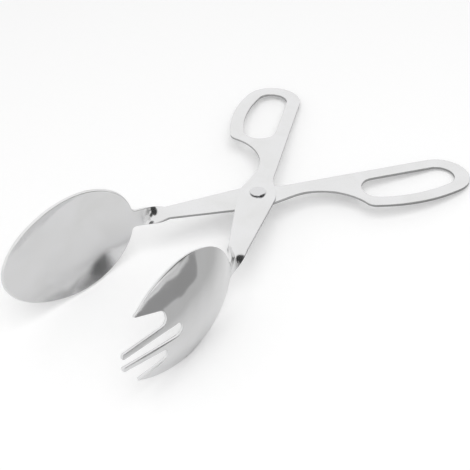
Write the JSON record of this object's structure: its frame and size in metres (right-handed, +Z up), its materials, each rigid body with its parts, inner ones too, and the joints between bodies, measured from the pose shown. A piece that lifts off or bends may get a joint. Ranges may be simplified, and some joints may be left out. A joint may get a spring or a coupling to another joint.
{
  "type": "salad servers",
  "caption": "Scissor-action salad servers in steel: a spoon arm and a fork arm with finger loops, riveted together where they cross.",
  "frame": {"origin": "middle of the box round the open servers, on the surface they lie on", "axes": "+Z up; +Y from the bowls to the handles, along the middle line between the arms; the spoon's bowl is at -X and the fork's at +X"},
  "size_m": [0.1632, 0.2504, 0.0633],
  "materials": {
    "spoon_steel": "stainless steel, satin on the flats and polished in the bowl",
    "fork_steel": "stainless steel, satin on the flats and polished on the bowl",
    "rivet_steel": "polished steel rivet"
  },
  "bodies": {
    "spoon_side": {"spoon_arm": "spoon_steel", "pivot_rivet": "rivet_steel"},
    "fork_side": {"fork_arm": "fork_steel"}
  },
  "joints": [
    {"name": "scissor_hinge", "type": "hinge", "parent": "spoon_side", "child": "fork_side", "pos_m": [0, 0.02154, 0.01698], "axis": [0, 0.145, 0.9894], "range_deg": [-33.6, 91]}
  ]
}
